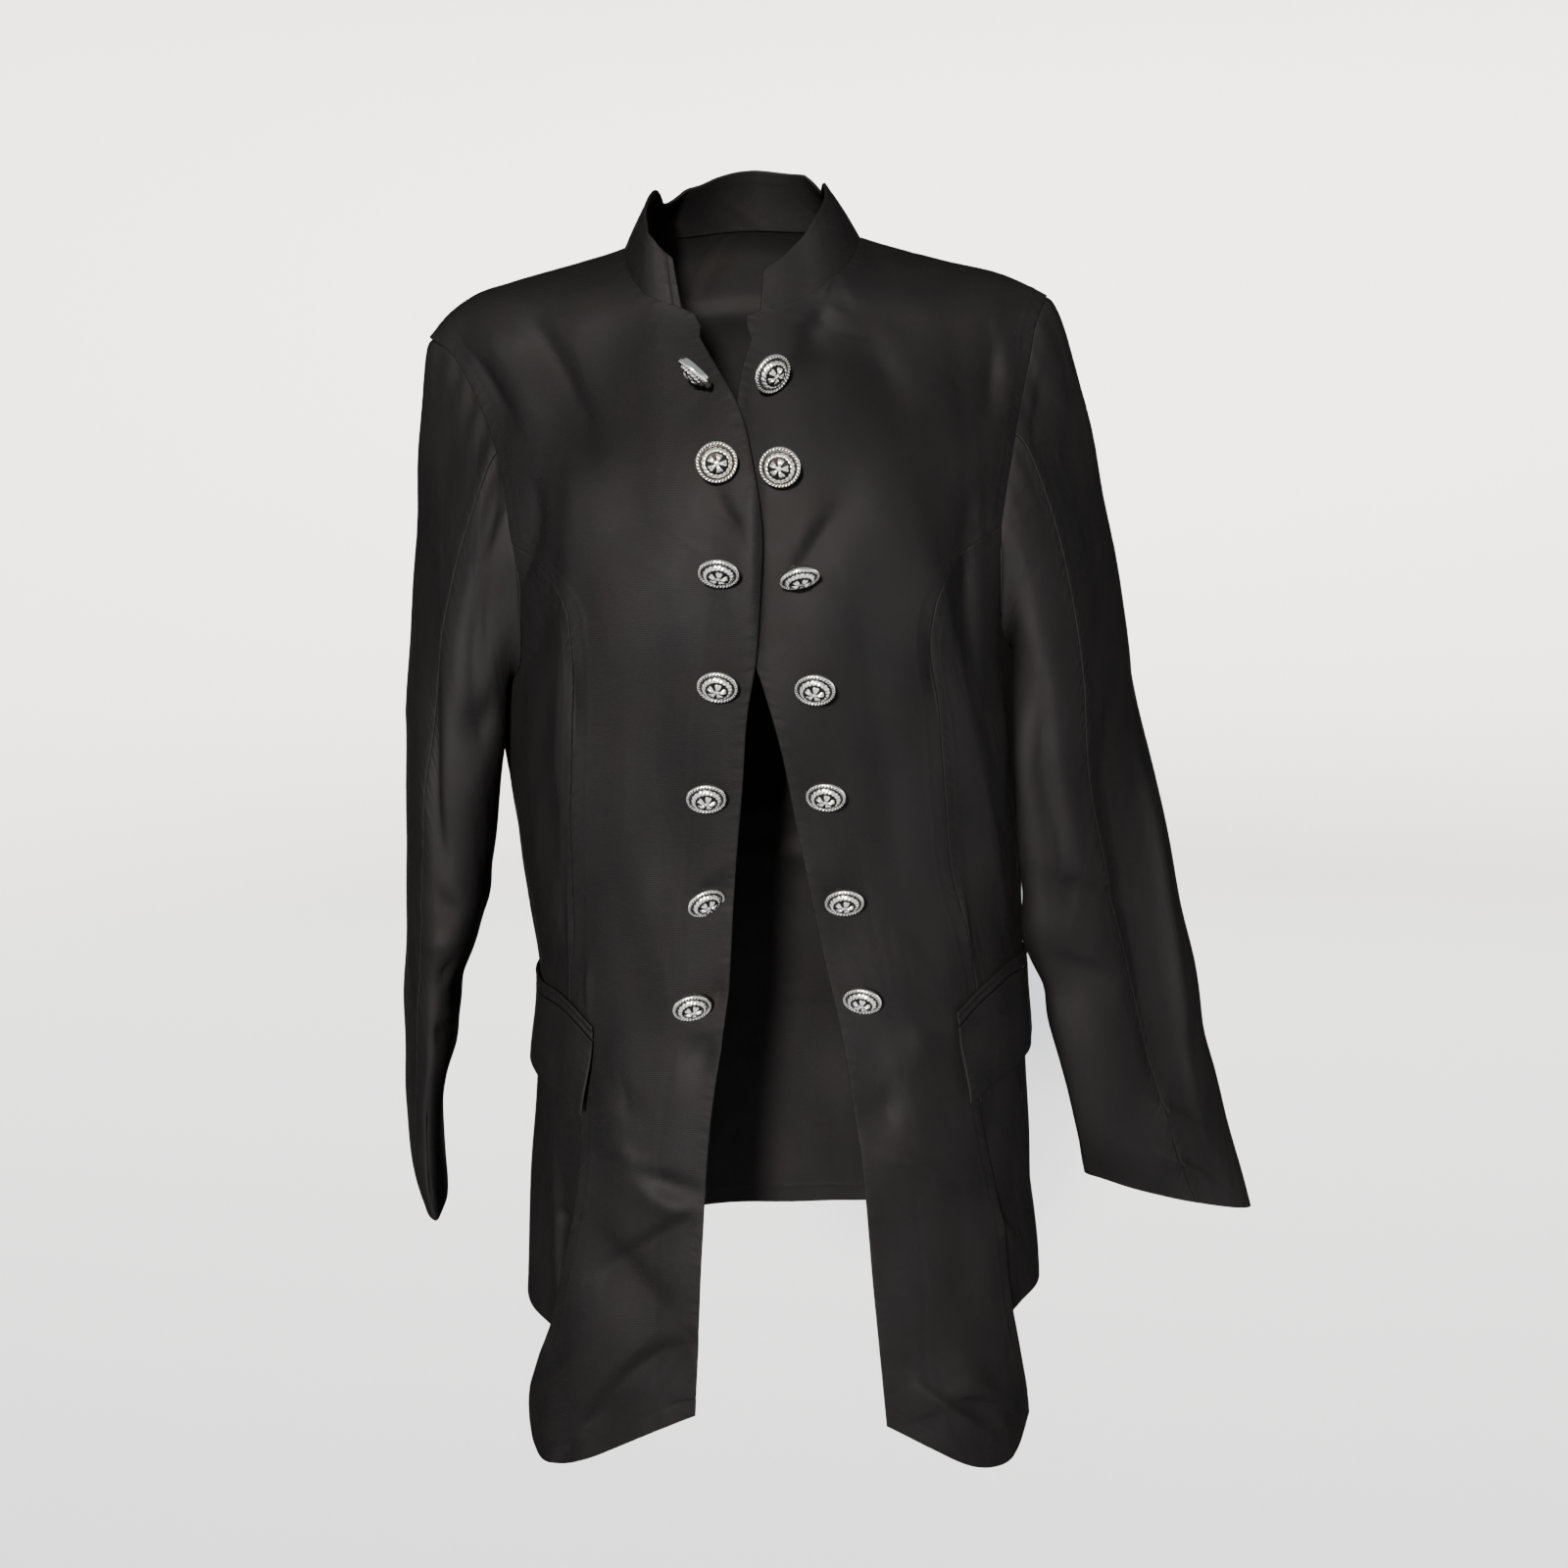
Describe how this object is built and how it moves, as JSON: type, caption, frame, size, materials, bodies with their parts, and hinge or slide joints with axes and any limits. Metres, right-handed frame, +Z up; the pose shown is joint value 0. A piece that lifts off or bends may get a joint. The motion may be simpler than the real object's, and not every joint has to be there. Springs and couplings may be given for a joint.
{
  "type": "blazer",
  "caption": "Long black women's blazer with a stand collar, worn open below the bust, with two rows of domed metal buttons and flap pockets.",
  "frame": {"origin": "at the base of the neck, midway between the two points where the collar meets the shoulder seams", "axes": "+Z up, -Y the wearer's front, +X the wearer's left"},
  "size_m": [0.6045, 0.2861, 0.8665],
  "materials": {
    "suiting": "black matt satin weave",
    "button_metal": "bright nickel plate with dark recesses"
  },
  "bodies": {
    "root": {"back": "suiting", "collar": "suiting", "front_left": "suiting", "side_left": "suiting", "sleeve_upper_left": "suiting", "sleeve_under_left": "suiting", "pocket_flap_left": "suiting", "pocket_welt_left": "suiting", "front_right": "suiting", "side_right": "suiting", "sleeve_upper_right": "suiting", "sleeve_under_right": "suiting", "pocket_flap_right": "suiting", "pocket_welt_right": "suiting", "button_left_1": "button_metal", "button_left_2": "button_metal", "button_left_3": "button_metal", "button_left_4": "button_metal", "button_left_5": "button_metal", "button_left_6": "button_metal", "button_left_7": "button_metal", "button_right_1": "button_metal", "button_right_2": "button_metal", "button_right_3": "button_metal", "button_right_4": "button_metal", "button_right_5": "button_metal", "button_right_6": "button_metal", "button_right_7": "button_metal"}
  },
  "joints": []
}
